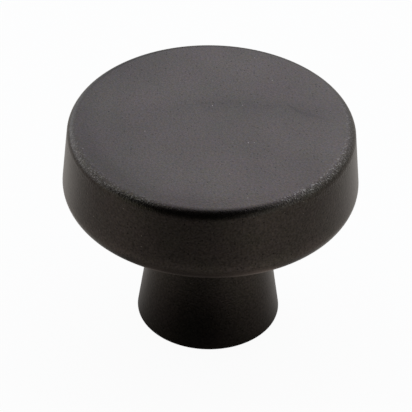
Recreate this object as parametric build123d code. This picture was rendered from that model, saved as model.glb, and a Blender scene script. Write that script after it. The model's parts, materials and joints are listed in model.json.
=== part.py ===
from build123d import *
import os
from math import radians, tan

# Cabinet knob: one zinc die casting, a drafted disc for a head on a tapered stem.
# A blind hole in the foot is tapped for the machine screw that comes through the door.
# Millimetres. The origin is the centre of the foot, which seats on the door front.
# +Z is the knob's axis and points away from the door.

# Head
head_diameter = 33.0  # at its widest, just above the lower rounding
head_thickness = 9.25  # underside to top face
head_draft = 4.7  # degrees that the side leans in towards the top face
top_round = 1.15  # between the side and the top face
lower_round = 1.8  # between the side and the underside

# Stem
knob_height = 25.75  # foot to top face
foot_diameter = 16.2  # where the stem's taper meets the foot, before the edge is eased
foot_round = 0.3
neck_diameter = 11.6  # where the stem's taper meets the underside
neck_round = 1.2  # in the inside corner between the stem and the underside

# Screw hole, drilled for a number 8 screw thread of 32 turns to the inch
tap_drill_diameter = 3.454
hole_depth = 13.0  # foot to the end of the straight wall
drill_point_angle = 118.0  # degrees, across the cone that the drill leaves
mouth_chamfer = 0.6  # each leg of the 45 degree lead-in at the mouth


# A solid turned about Z from the corners of its half section, each a radius and a height.
# Each entry of rounds is one of those corners and the radius that it is rounded to.
def turned(corners, rounds=()):
    section = make_face(Polyline(*corners, close=True))
    for corner, radius in rounds:
        vertex = section.vertices().sort_by_distance((*corner, 0))[0]
        section = fillet(vertex, radius)
    return revolve(Plane.XZ * section, Axis.Z)


# The lower rounding takes the head's sharp lower corner back to the widest diameter
corner_reach = 1 / tan(radians(45 - head_draft / 2)) - 1
rim_radius = head_diameter / 2 + lower_round * corner_reach
underside = knob_height - head_thickness

foot_corner = (foot_diameter / 2, 0)
neck_corner = (neck_diameter / 2, underside)
rim_corner = (rim_radius, underside)
top_corner = (rim_radius - head_thickness * tan(radians(head_draft)), knob_height)

casting = turned(
    [(0, 0), foot_corner, neck_corner, rim_corner, top_corner, (0, knob_height)],
    [
        (foot_corner, foot_round),
        (neck_corner, neck_round),
        (rim_corner, lower_round),
        (top_corner, top_round),
    ],
)

# The hole's section: lead-in, straight wall and the cone of the drill point
hole_radius = tap_drill_diameter / 2
drill_tip = hole_depth + hole_radius / tan(radians(drill_point_angle / 2))
screw_hole = turned(
    [
        (0, 0),
        (hole_radius + mouth_chamfer, 0),
        (hole_radius, mouth_chamfer),
        (hole_radius, hole_depth),
        (0, drill_tip),
    ]
)

knob = casting - screw_hole

os.makedirs("parts", exist_ok=True)
export_step(knob, "parts/knob.step")
print(f"knob: {knob.volume / 1000:.3f} cm3, box {knob.bounding_box().size}")
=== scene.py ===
import json
from math import cos, pi, radians, sin

import bpy
from mathutils import Euler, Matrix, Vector


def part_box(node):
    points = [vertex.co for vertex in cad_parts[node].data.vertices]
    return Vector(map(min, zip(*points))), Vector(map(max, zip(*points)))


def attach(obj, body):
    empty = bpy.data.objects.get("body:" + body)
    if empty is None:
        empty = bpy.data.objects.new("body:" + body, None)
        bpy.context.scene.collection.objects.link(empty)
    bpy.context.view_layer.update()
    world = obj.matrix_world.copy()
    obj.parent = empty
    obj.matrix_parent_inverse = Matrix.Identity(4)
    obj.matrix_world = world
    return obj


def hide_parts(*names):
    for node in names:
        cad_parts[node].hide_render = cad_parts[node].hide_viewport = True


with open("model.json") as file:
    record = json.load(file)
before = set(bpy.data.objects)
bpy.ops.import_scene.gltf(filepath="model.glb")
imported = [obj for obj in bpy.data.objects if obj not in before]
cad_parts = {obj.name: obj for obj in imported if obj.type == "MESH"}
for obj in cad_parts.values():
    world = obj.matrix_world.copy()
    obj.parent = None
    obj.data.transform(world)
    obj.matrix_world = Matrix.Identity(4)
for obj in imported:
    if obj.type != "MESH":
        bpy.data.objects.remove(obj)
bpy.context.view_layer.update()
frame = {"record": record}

white = (1.0, 1.0, 1.0, 1.0)
perMetre = 1000.0  # millimetres in a metre


class Wire:  # one socket of a shader tree or a geometry tree, with arithmetic
    def __init__(self, tree, socket=None):
        self.tree = tree
        self.socket = socket

    # settings go on first, because some of them change which sockets a node has
    def node(self, kind, settings=None, values=None, out=0):
        made = self.tree.nodes.new(kind)
        for name, value in (settings or {}).items():
            if name == "items":
                while len(made.index_switch_items) < value:
                    made.index_switch_items.new()
            else:
                setattr(made, name, value)
        for name, value in (values or {}).items():
            if isinstance(value, Wire):
                self.tree.links.new(value.socket, made.inputs[name])
            else:
                made.inputs[name].default_value = value
        return Wire(self.tree, made.outputs[out] if made.outputs else None)

    def other(self, name):  # another output of the same node
        return Wire(self.tree, self.socket.node.outputs[name])

    def math(self, operation, *values):
        return self.node("ShaderNodeMath", {"operation": operation}, dict(enumerate(values)))

    def vector(self, operation, *values, out=0):
        return self.node("ShaderNodeVectorMath", {"operation": operation}, dict(enumerate(values)), out)

    def measure(self, operation, *values):  # a length, a distance or a dot product
        return self.vector(operation, *values, out="Value")

    def blend(self, first, second):  # from one colour to another as this goes from 0 to 1
        return self.node("ShaderNodeMix", {"data_type": "RGBA"}, {0: self, 6: first, 7: second}, 2)

    def smooth(self, low, high):  # 0 below low, 1 above high, eased between them
        return self.node("ShaderNodeMapRange", {"interpolation_type": "SMOOTHSTEP"},
                         {"Value": self, "From Min": low, "From Max": high})

    def __add__(self, other):
        return self.math("ADD", self, other)

    def __radd__(self, other):
        return self.math("ADD", other, self)

    def __sub__(self, other):
        return self.math("SUBTRACT", self, other)

    def __rsub__(self, other):
        return self.math("SUBTRACT", other, self)

    def __mul__(self, other):
        return self.math("MULTIPLY", self, other)

    def __rmul__(self, other):
        return self.math("MULTIPLY", other, self)

    def __truediv__(self, other):
        return self.math("DIVIDE", self, other)

    def __rtruediv__(self, other):
        return self.math("DIVIDE", other, self)

    def __pow__(self, other):
        return self.math("POWER", self, other)


def newMaterial(name):
    material = bpy.data.materials.new(name)
    material.use_nodes = True
    material.node_tree.nodes.clear()
    return material, Wire(material.node_tree)


def headed(azimuth, elevation=0.0):  # a direction: degrees from the front, + to the right, then degrees up
    turn = radians(azimuth)
    lift = radians(elevation)
    return (sin(turn) * cos(lift), -cos(turn) * cos(lift), sin(lift))


# The coat: black bronze over die-cast zinc, near black and warm, satin, with a fine casting grain in it.
# Bare zinc shows in the tapped hole. Lengths are in millimetres, and scales in cells to the millimetre.
# A pair is the start and the end of a smooth change. A drop is a depth below the top face, and a front is
# the cosine of an angle from the front.
coatLook = {
    "metal": (0.050, 0.043, 0.038),
    "roughness": 0.285,
    "grain": {"scale": 4.2, "detail": 1.0, "height": 0.016, "colour": 1.4, "topColour": 0.82},
    "wornGrain": {"scale": 5.0, "detail": 1.0},
    "ripple": {"scale": 0.5, "detail": 1.0, "height": 0.012},
    "hue": {"scale": 0.25, "detail": 5.0, "swing": (0.0080, -0.0010, 0.0063)},
    "hueGrain": {"scale": 4.6, "detail": 1.0, "swing": (0.009, 0.0, 0.013), "topGain": 2.2},
    "cloud": {"scale": 0.08, "detail": 2.0, "shift": (178.0, 99.0, 0.0),
              "colour": 0.7, "roughness": 0.04},
    "pits": {"scale": 2.6, "radius": 0.13, "core": 0.3, "share": 0.22,
             "colour": 0.6, "topColour": 0.28, "depth": 0.012},
    "specks": {"scale": 1.5, "radius": 0.08, "core": 0.3, "share": 0.08, "wornShare": 0.30,
               "metal": (0.20, 0.18, 0.165, 1.0)},
    "wornEdgeAndGlints": {
        "places": {-72.0: 0.3, -46.0: 0.5, 55.0: 0.9, 82.0: 0.55},  # degrees from the front, and the wear and painted glints there
        "core": 16.0,  # degrees to each side of a place, as its fading edge is
        "edge": 18.0,
        "inner": (14.65, 15.3),
        "drop": (2.6, 1.2),
        "grain": 4.4,
        "glint": (0.06, 0.14),  # of the worn grain
        "glintDrop": (0.8, 0.25),
        # the colour of the painted glints, a painted sparkle of light on the rubbed edge
        "metal": (0.145, 0.134, 0.122, 1.0),
    },
    "flowMark": {
        "centre": (3.7, -15.7, 0.0),  # of the arc that it follows
        "radius": 19.8,
        "halfWidth": 2.1,
        "facing": 176.0,  # its middle seen from that centre, in degrees from the front
        "spread": 31.0,
        "blotch": (-0.30, 0.08),  # of the ripple
        "colour": 0.13,
    },
    "crease": {
        "bendAt": (9.6, 2.8, 0.0),
        "turn": -24.0,  # degrees from +X
        "bend": 0.5,  # slope of its left end
        "wobble": 1.1,
        "halfWidth": 0.32,
        "left": (-2.2, -1.2),  # along it from the bend, as its right end is
        "right": (-0.6, 4.8),
        "broken": (-0.16, 0.08),  # of the grain
        "colour": 0.36,
    },
    # a painted sheen and a painted highlight line along the head's lower edge
    "paintedLowerEdge": {
        "radius": (14.7, 15.6),
        "paintedLowerSheen": (1.6, 3.2),  # heights above the underside, as rise is
        # how much lighter the side is painted towards its lower edge, a painted sheen
        "paintedSheenGain": 0.42,
        "rise": (0.4, 1.9),
        "fade": 1.4,
        "front": (0.84, 0.95),
        # the colour of the painted highlight line at the lower edge
        "metal": (0.60, 0.47, 0.405, 1.0),
    },
    "topSkin": (0.2, 0.1),  # drops
    "roll": {"radius": (11.7, 15.5), "height": (20.0, 22.0), "front": (-0.8, 0.0), "depth": 0.16},
    "film": {"drop": (0.12, 0.06), "matt": 0.2, "tint": (0.897, 0.851, 0.828, 1.0)},
    "zinc": {"metal": (0.50, 0.49, 0.48, 1.0), "roughness": 0.36, "radius": 2.34, "height": 16.0},
}
noiseMiddle = 0.5  # the mean of a noise texture


def roundSpots(place, look, share):  # soft round spots in a share of all cells, each even out to its core
    cells = place.node("ShaderNodeTexVoronoi", values={"Vector": place, "Scale": look["scale"]})
    chance = place.node("ShaderNodeSeparateColor", values={"Color": cells.other("Color")})
    chosen = place.math("LESS_THAN", chance, share)
    reach = look["radius"] * look["scale"]
    return (1 - cells.smooth(look["core"] * reach, reach)) * chosen


def blackBronzeCoat(look, sizes):
    material, start = newMaterial("blackBronzeCoat")
    metres = start.node("ShaderNodeTexCoord", out="Object")
    place = start.vector("MULTIPLY", metres, (perMetre, perMetre, perMetre))
    axes = start.node("ShaderNodeSeparateXYZ", values={"Vector": place})
    height = axes.other("Z")
    flat = start.node("ShaderNodeCombineXYZ", values={"X": axes, "Y": axes.other("Y")})
    radius = start.measure("LENGTH", flat)
    outward = start.vector("NORMALIZE", flat)
    front = start.measure("DOT_PRODUCT", outward, headed(0.0))
    top = sizes["knobHeight"] * perMetre
    underside = top - sizes["headThickness"] * perMetre

    def noise(name, out=0):
        return start.node("ShaderNodeTexNoise", values={
            "Vector": start.vector("ADD", place, look[name].get("shift", (0.0, 0.0, 0.0))),
            "Scale": look[name]["scale"],
            "Detail": look[name]["detail"],
        }, out=out)

    def nearTop(drops):  # 0 up to the first depth below the top face, 1 from the second
        return height.smooth(*[top - drop for drop in drops])

    def topOr(name):  # the top face is smoother than the sides
        return look[name]["colour"] + onTop * (look[name]["topColour"] - look[name]["colour"])

    grain = noise("grain") - noiseMiddle
    ripple = noise("ripple") - noiseMiddle
    cloud = noise("cloud") - noiseMiddle
    speckle = noise("wornGrain") - noiseMiddle
    onTop = nearTop(look["topSkin"])

    # fingers have rubbed the top edge at the left and at the right, and its grain is coarser there;
    # painted glints, lighter specks of colour, stand in there for the sparkle of light on that edge
    wornAndGlints = look["wornEdgeAndGlints"]
    limits = [cos(radians(angle)) for angle in (wornAndGlints["core"] + wornAndGlints["edge"], wornAndGlints["core"])]
    rubbedAndGlinting = 0.0
    for azimuth, wear in wornAndGlints["places"].items():
        facing = start.measure("DOT_PRODUCT", outward, headed(azimuth))
        rubbedAndGlinting = start.math("MAXIMUM", rubbedAndGlinting, facing.smooth(*limits) * wear)
    rubbedAndGlinting = rubbedAndGlinting * radius.smooth(*wornAndGlints["inner"]) * nearTop(wornAndGlints["drop"])
    # painted glints: lighter specks in the colour, a painted sparkle of light
    paintedGlints = rubbedAndGlinting * speckle.smooth(*wornAndGlints["glint"]) * nearTop(wornAndGlints["glintDrop"])
    coarse = grain + rubbedAndGlinting * (speckle * wornAndGlints["grain"] - grain)

    # a long faint mark that the metal left on the top face as it filled the mould
    mark = look["flowMark"]
    spoke = start.vector("SUBTRACT", flat, mark["centre"])
    beside = start.math("ABSOLUTE", start.measure("LENGTH", spoke) - mark["radius"])
    facing = start.measure("DOT_PRODUCT", start.vector("NORMALIZE", spoke), headed(mark["facing"]))
    ends = facing.smooth(cos(radians(mark["spread"])), cos(radians(mark["spread"] / 2)))
    flowMark = (1 - beside.smooth(0.0, mark["halfWidth"])) * ends
    flowMark = flowMark * ripple.smooth(*mark["blotch"]) * onTop

    # a hair crease at the right end of that mark, bent once and broken up by the grain
    crease = look["crease"]
    drawn = start.node("ShaderNodeMapping", {"vector_type": "TEXTURE"}, {
        "Vector": flat,
        "Location": crease["bendAt"],
        "Rotation": (0.0, 0.0, radians(crease["turn"])),
    })
    along = start.node("ShaderNodeSeparateXYZ", values={"Vector": drawn})
    bent = start.math("MAXIMUM", 0 - along, 0.0) * crease["bend"]
    aside = start.math("ABSOLUTE", along.other("Y") - bent + ripple * crease["wobble"])
    creased = along.smooth(*crease["left"]) * (1 - along.smooth(*crease["right"])) * onTop
    creased = creased * (1 - aside.smooth(0.0, crease["halfWidth"])) * grain.smooth(*crease["broken"])

    # pits in the casting, specks where the coat is rubbed through, and the bare hole
    pits = roundSpots(place, look["pits"], look["pits"]["share"])
    speck = look["specks"]
    specks = roundSpots(place, speck, speck["share"] + rubbedAndGlinting * (speck["wornShare"] - speck["share"]))
    inHole = start.math("LESS_THAN", radius, look["zinc"]["radius"])
    zinc = inHole * start.math("LESS_THAN", height, look["zinc"]["height"])

    # painted highlight along the head's lower edge: the side is painted lighter towards that edge, and a
    # light warm line is painted on the edge at the front, in place of the reflection there
    lower = look["paintedLowerEdge"]
    rise = height - underside
    onRim = radius.smooth(*lower["radius"])
    paintedLowerSheen = onRim * (1 - rise.smooth(*lower["paintedLowerSheen"]))
    paintedLowerEdge = (1 - rise.smooth(*lower["rise"])) ** lower["fade"]
    paintedLowerEdge = paintedLowerEdge * onRim * front.smooth(*lower["front"])

    # a thin matt film on the flat of the top
    film = nearTop(look["film"]["drop"])
    tint = film.blend(white, look["film"]["tint"])

    shade = (1 + cloud * look["cloud"]["colour"]) * (1 - flowMark * mark["colour"])
    shade = shade * (1 - creased * crease["colour"]) * (1 + paintedLowerSheen * lower["paintedSheenGain"])
    shade = shade * (1 - pits * topOr("pits")) * (1 + grain * topOr("grain"))
    metal = start.vector("MULTIPLY_ADD", noise("hue") - noiseMiddle, look["hue"]["swing"], look["metal"])
    fine = look["hueGrain"]
    hues = start.vector("SUBTRACT", noise("hueGrain", "Color"), (noiseMiddle, noiseMiddle, noiseMiddle))
    hues = start.vector("MULTIPLY", hues, fine["swing"])
    metal = start.vector("MULTIPLY_ADD", hues, 1 + onTop * (fine["topGain"] - 1), metal)
    colour = start.vector("MULTIPLY", shade, start.vector("MULTIPLY", metal, tint))
    # the painted highlight at the lower edge, then the painted glints on the top edge
    colour = paintedLowerEdge.blend(colour, lower["metal"])
    colour = paintedGlints.blend(colour, wornAndGlints["metal"])
    colour = specks.blend(colour, speck["metal"])
    colour = zinc.blend(colour, look["zinc"]["metal"])
    roughness = look["roughness"] - cloud * look["cloud"]["roughness"]
    roughness = roughness + zinc * (look["zinc"]["roughness"] - look["roughness"])

    # relief: grain, ripple, pits, and the top's slight roll towards its front edge
    roll = radius.smooth(*look["roll"]["radius"])
    roll = roll * roll * front.smooth(*look["roll"]["front"])
    relief = coarse * look["grain"]["height"] + ripple * look["ripple"]["height"]
    relief = relief - pits * look["pits"]["depth"]
    relief = relief + (1 - roll) * height.smooth(*look["roll"]["height"]) * look["roll"]["depth"]
    bump = start.node("ShaderNodeBump", values={
        "Strength": 1.0,
        "Distance": 1 / perMetre,
        "Height": relief,
    }, out="Normal")

    shader = start.node("ShaderNodeBsdfPrincipled", values={
        "Base Color": colour,
        "Metallic": 1 - film * look["film"]["matt"],
        "Roughness": roughness,
        "Normal": bump,
    })
    start.node("ShaderNodeOutputMaterial", values={"Surface": shader})
    return material


# The knob, turned from its half section. The head's width and the height come from the frame's box,
# and the hole's size and depth from the frame's screw hole.
lowCorner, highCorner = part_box("knob")
screwHole = next(mount for mount in frame["record"]["mounts"] if mount["name"] == "screw_hole")
mouthChamfer = 0.0006
threadPitch = 0.0254 / 32
knobSizes = {  # metres, radians and counts
    "headDiameter": highCorner[0] - lowCorner[0],
    "headThickness": 0.00925,
    "headDraft": radians(4.7),
    "topRound": 0.00115,
    "lowerRound": 0.0018,
    "knobHeight": highCorner[2] - lowCorner[2],
    "footDiameter": 0.0162,
    "footRound": 0.0003,
    "neckDiameter": 0.0116,
    "neckRound": 0.0012,
    "holeRadius": screwHole["dims"]["r_mm"] / perMetre,
    "holeDepth": mouthChamfer + screwHole["dims"]["length_mm"] / perMetre,
    "drillHalfAngle": radians(59),
    "mouthChamfer": mouthChamfer,
    "mouthRound": 0.00006,
    "threadRadius": 0.002083,
    "threadPitch": threadPitch,
    "threadFlat": threadPitch / 16,  # half the width of the groove's floor
    "flankSlope": 3 ** 0.5,  # a thread of 60 degrees
    "threadEnd": 0.0118,
    "threadRunOut": 0.0012,
    "plainRow": 0.0006,
    "mergeReach": 0.000001,
    "rowsPerPitch": 12,
    "roundRows": 24,
    "turnSteps": 160,
}


def turnedTree(sizes, material):
    tree = bpy.data.node_groups.new("turnedKnob", "GeometryNodeTree")
    tree.interface.new_socket("knob", in_out="OUTPUT", socket_type="NodeSocketGeometry")
    for name, value in sizes.items():
        kind = "NodeSocketInt" if isinstance(value, int) else "NodeSocketFloat"
        tree.interface.new_socket(name, in_out="INPUT", socket_type=kind)
    start = Wire(tree)
    given = start.node("NodeGroupInput")
    size = {name: given.other(name) for name in sizes}

    # corners of the half section, from the top's centre round to the tip of the drilled hole
    underside = size["knobHeight"] - size["headThickness"]
    reach = 1 / start.math("TANGENT", pi / 4 - size["headDraft"] / 2) - 1
    rimRadius = size["headDiameter"] / 2 + size["lowerRound"] * reach
    topRadius = rimRadius - size["headThickness"] * start.math("TANGENT", size["headDraft"])
    drillTip = size["holeDepth"] + size["holeRadius"] / start.math("TANGENT", size["drillHalfAngle"])
    threadRow = size["threadPitch"] / size["rowsPerPitch"]
    corners = [  # radius, height, rounding, longest row that follows
        (0.0, size["knobHeight"], 0.0, size["plainRow"]),
        (topRadius, size["knobHeight"], size["topRound"], size["plainRow"]),
        (rimRadius, underside, size["lowerRound"], size["plainRow"]),
        (size["neckDiameter"] / 2, underside, size["neckRound"], size["plainRow"]),
        (size["footDiameter"] / 2, 0.0, size["footRound"], size["plainRow"]),
        (size["holeRadius"] + size["mouthChamfer"], 0.0, size["mouthRound"], threadRow),
        (size["holeRadius"], size["mouthChamfer"], 0.0, threadRow),
        (size["holeRadius"], size["holeDepth"], 0.0, size["plainRow"]),
        (0.0, drillTip, 0.0, size["plainRow"]),
    ]
    index = start.node("GeometryNodeInputIndex")
    places = {"Index": index}
    rounds = {"Index": index}
    rows = {"Index": index}
    for number, (radius, height, rounding, row) in enumerate(corners):
        places[str(number)] = start.node("ShaderNodeCombineXYZ", values={"X": radius, "Z": height})
        rounds[str(number)] = rounding
        rows[str(number)] = row
    count = len(corners)
    place = start.node("GeometryNodeIndexSwitch", {"data_type": "VECTOR", "items": count}, places)
    rounding = start.node("GeometryNodeIndexSwitch", {"data_type": "FLOAT", "items": count}, rounds)
    row = start.node("GeometryNodeIndexSwitch", {"data_type": "FLOAT", "items": count}, rows)

    # the section as a curve: sharp corners, then rounded, then cut into rows
    points = start.node("GeometryNodePoints", values={"Count": count, "Position": place})
    section = start.node("GeometryNodePointsToCurves", values={"Points": points})
    section = start.node("GeometryNodeStoreNamedAttribute", {"data_type": "FLOAT", "domain": "POINT"},
                         {"Geometry": section, "Name": "longestRow", "Value": row})
    section = start.node("GeometryNodeFilletCurve", {"mode": "POLY"}, {
        "Curve": section,
        "Count": size["roundRows"],
        "Radius": rounding,
        "Limit Radius": True,
    })
    position = start.node("GeometryNodeInputPosition")
    atPoint = {"data_type": "FLOAT_VECTOR", "domain": "POINT"}
    nextPosition = start.node("GeometryNodeFieldAtIndex", atPoint, {"Value": position, "Index": index + 1})
    run = start.measure("DISTANCE", position, nextPosition)
    longest = start.node("GeometryNodeInputNamedAttribute",
                         {"data_type": "FLOAT"}, {"Name": "longestRow"})
    section = start.node("GeometryNodeSubdivideCurve",
                         values={"Curve": section, "Cuts": start.math("FLOOR", run / longest)})

    # a sheet with a row for each point of the section, turned once round
    rowCount = start.node("GeometryNodeAttributeDomainSize", {"component": "CURVE"},
                          {"Geometry": section}, "Point Count")
    sheet = start.node("GeometryNodeMeshGrid",
                       values={"Vertices X": size["turnSteps"] + 1, "Vertices Y": rowCount})
    step = start.math("FLOOR", (index + 0.5) / rowCount)  # the half keeps rounding from losing a step
    onSection = start.node("GeometryNodeSampleIndex", atPoint,
                           {"Geometry": section, "Value": position, "Index": index - step * rowCount})
    spread = start.node("ShaderNodeSeparateXYZ", values={"Vector": onSection})
    radius = spread.other("X")
    height = spread.other("Z")
    turn = step / size["turnSteps"]

    # the thread: a groove that climbs one pitch a turn, right-handed, and runs out before the hole's end
    phase = start.math("FRACT", height / size["threadPitch"] - turn + 1)
    away = start.math("ABSOLUTE", phase - 0.5) * size["threadPitch"]
    flank = start.math("MAXIMUM", away - size["threadFlat"], 0.0) * size["flankSlope"]
    runOut = ((size["threadEnd"] - height) / size["threadRunOut"]).smooth(0.0, 1.0)
    depth = (size["threadRadius"] - size["holeRadius"]) * runOut
    groove = (size["holeRadius"] + depth - flank) * start.math("LESS_THAN", height, size["threadEnd"])
    radius = start.math("MAXIMUM", radius, groove)

    angle = turn * (2 * pi)
    turned = start.node("ShaderNodeCombineXYZ", values={
        "X": radius * start.math("COSINE", angle),
        "Y": radius * start.math("SINE", angle),
        "Z": height,
    })
    skin = start.node("GeometryNodeSetPosition", values={"Geometry": sheet, "Position": turned})
    skin = start.node("GeometryNodeMergeByDistance",
                      values={"Geometry": skin, "Distance": size["mergeReach"]})
    skin = start.node("GeometryNodeFlipFaces", values={"Mesh": skin})
    skin = start.node("GeometryNodeSetShadeSmooth", values={"Geometry": skin})
    skin = start.node("GeometryNodeRealizeInstances", values={"Geometry": skin})
    skin = start.node("GeometryNodeSetMaterial", values={"Geometry": skin, "Material": material})
    start.node("NodeGroupOutput", values={"knob": skin})
    return tree


def turnKnob(sizes, material):
    blank = bpy.data.objects.new("knobBlank", bpy.data.meshes.new("knobBlank"))
    bpy.context.scene.collection.objects.link(blank)
    tree = turnedTree(sizes, material)
    modifier = blank.modifiers.new("turn", "NODES")
    modifier.node_group = tree
    for socket in tree.interface.items_tree:
        if socket.in_out == "INPUT":
            modifier[socket.identifier] = sizes[socket.name]
    view = bpy.context.evaluated_depsgraph_get()
    mesh = bpy.data.meshes.new_from_object(blank.evaluated_get(view), depsgraph=view)
    blank.modifiers.remove(modifier)
    bpy.data.objects.remove(blank)
    mesh.name = "knobCasting"
    knob = bpy.data.objects.new("knobCasting", mesh)
    bpy.context.scene.collection.objects.link(knob)
    return knob


coat = blackBronzeCoat(coatLook, knobSizes)
knob = turnKnob(knobSizes, coat)
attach(knob, "root")
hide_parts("knob")
print("knob turned:", len(knob.data.vertices), "points,", len(knob.data.polygons), "faces")


# The floor: pale, and white to the camera apart from the knob's soft shadow. The metal mirrors it with
# painted shade: pale, with painted shadows of the knob under it and to its left, and painted darker out in
# front, where less light reaches.
floorLook = {  # lengths in metres
    "colour": (0.8, 0.8, 0.8, 1.0),
    "size": 4.0,
    "drop": 0.00001,
    "lift": 0.95,
    "mirrorTint": (1.0, 0.94, 0.88),
    "mirrorStrength": 0.574,
    # painted shadows, seen only in what the metal mirrors
    "shadows": {
        "under": {"centre": (-0.00334, -0.01604, 0.0), "fade": (0.0034, 0.0372), "depth": 0.957},
        "left": {"centre": (-0.046, -0.008, 0.0), "fade": (0.0, 0.026), "depth": 0.26},
    },
    "frontTurn": -13.8,
    "frontSector": (0.581, 1.158),  # cosines, the second past 1 so that the floor is never quite dark
    "frontReach": (0.0121, 0.0865),
}


def paleFloor(look):
    material, start = newMaterial("paleFloor")
    camera = start.node("ShaderNodeLightPath", out="Is Camera Ray")
    mirrored = start.math("MAXIMUM", camera.other("Is Glossy Ray"), camera.other("Is Transmission Ray"))
    place = start.node("ShaderNodeTexCoord", out="Object")
    # the shade that the metal mirrors is painted: shadows of the knob, and darker out in front
    paintedMirrorShade = look["mirrorStrength"]
    for shadow in look["shadows"].values():
        away = start.measure("DISTANCE", place, shadow["centre"])
        paintedMirrorShade = paintedMirrorShade * (1 - (1 - away.smooth(*shadow["fade"])) * shadow["depth"])
    facing = start.measure("DOT_PRODUCT", start.vector("NORMALIZE", place), headed(look["frontTurn"]))
    far = start.measure("LENGTH", place)
    paintedMirrorShade = paintedMirrorShade * (1 - facing.smooth(*look["frontSector"]) * far.smooth(*look["frontReach"]))
    shade = mirrored.blend(white, start.vector("MULTIPLY", paintedMirrorShade, look["mirrorTint"]))
    glow = start.node("ShaderNodeEmission", values={"Color": shade, "Strength": 1.0})
    lit = start.node("ShaderNodeBsdfDiffuse", values={"Color": look["colour"]})
    seen = start.math("MAXIMUM", camera, mirrored)
    both = start.node("ShaderNodeMixShader", values={"Fac": seen * look["lift"], 1: lit, 2: glow})
    start.node("ShaderNodeOutputMaterial", values={"Surface": both})
    reach = look["size"] / 2
    corners = [(-reach, -reach), (reach, -reach), (reach, reach), (-reach, reach)]
    mesh = bpy.data.meshes.new("floor")
    mesh.from_pydata([(x, y, -look["drop"]) for x, y in corners], [], [(0, 1, 2, 3)])
    mesh.materials.append(material)
    floor = bpy.data.objects.new("floor", mesh)
    bpy.context.scene.collection.objects.link(floor)


paleFloor(floorLook)


# Studio light: soft round glows in the sky, each at so many degrees from the front, + to the right,
# and so many up. A glow is even out to its core, then fades over its edge, both in degrees.
studioLook = {
    "fill": (0.010, 0.009, 0.008),
    "horizon": {"elevation": 12, "edge": 14, "colour": (0.04, 0.04, 0.04)},
    "glows": {
        "backRight": {"at": (143, 27), "core": 31, "edge": 8, "colour": (0.89, 0.91, 0.95)},
        "leftBack": {"at": (-126, 17), "core": 0, "edge": 60, "colour": (2.16, 2.29, 2.46)},
        "rightTop": {"at": (96, 47), "core": 3, "edge": 26, "colour": (1.33, 1.45, 1.55)},
        "backTop": {"at": (169, 51), "core": 11, "edge": 34, "colour": (1.52, 1.59, 1.85)},
        "leftLow": {"at": (-68, 0), "core": 8, "edge": 24, "colour": (0.57, 0.59, 0.48)},
        "rightLow": {"at": (69, 2), "core": 19, "edge": 38, "colour": (0.66, 0.69, 0.66)},
        "leftTop": {"at": (-111, 60), "core": 7, "edge": 17, "colour": (0.87, 0.92, 0.92)},
    },
}


def studioWorld(look):
    world = bpy.data.worlds.new("studio")
    world.use_nodes = True
    world.node_tree.nodes.clear()
    bpy.context.scene.world = world
    start = Wire(world.node_tree)
    direction = start.node("ShaderNodeTexCoord", out="Generated")
    height = start.node("ShaderNodeSeparateXYZ", values={"Vector": direction}).other("Z")
    above = start.math("ABSOLUTE", start.math("ARCSINE", height) - radians(look["horizon"]["elevation"]))
    haze = 1 - above.smooth(0.0, radians(look["horizon"]["edge"]))
    sky = start.vector("MULTIPLY_ADD", haze, look["horizon"]["colour"], look["fill"])
    for glow in look["glows"].values():
        facing = start.measure("DOT_PRODUCT", direction, headed(*glow["at"]))
        off = start.math("ARCCOSINE", facing)
        inside = 1 - off.smooth(radians(glow["core"]), radians(glow["core"] + glow["edge"]))
        sky = start.vector("MULTIPLY_ADD", inside, glow["colour"], sky)
    camera = start.node("ShaderNodeLightPath", out="Is Camera Ray")
    colour = camera.blend(sky, white)
    light = start.node("ShaderNodeBackground", values={"Color": colour, "Strength": 1.0})
    start.node("ShaderNodeOutputWorld", values={"Surface": light})


studioWorld(studioLook)


# The camera: aimed at a point near the knob's axis
cameraLook = {  # metres and degrees, the lens and its sensor in millimetres
    "aim": (-0.00045, 0.0, 0.014405),
    "azimuth": 0.087,
    "elevation": 37.977,
    "distance": 0.3747,
    "roll": 1.129,
    "lens": 291.76,
    "sensor": 36.0,
    "clipStart": 0.01,
}


def makeCamera(look):
    data = bpy.data.cameras.new("camera")
    data.lens = look["lens"]
    data.sensor_width = look["sensor"]
    data.clip_start = look["clipStart"]
    camera = bpy.data.objects.new("camera", data)
    turn = Euler((radians(90 - look["elevation"]), 0, radians(look["azimuth"])), "XYZ").to_matrix()
    camera.location = Vector(look["aim"]) + turn @ Vector((0, 0, look["distance"]))
    camera.rotation_euler = (turn @ Euler((0, 0, radians(look["roll"]))).to_matrix()).to_euler()
    bpy.context.scene.collection.objects.link(camera)
    bpy.context.scene.camera = camera


makeCamera(cameraLook)
bpy.context.scene.view_settings.view_transform = "Standard"
print("floor, light and camera set")
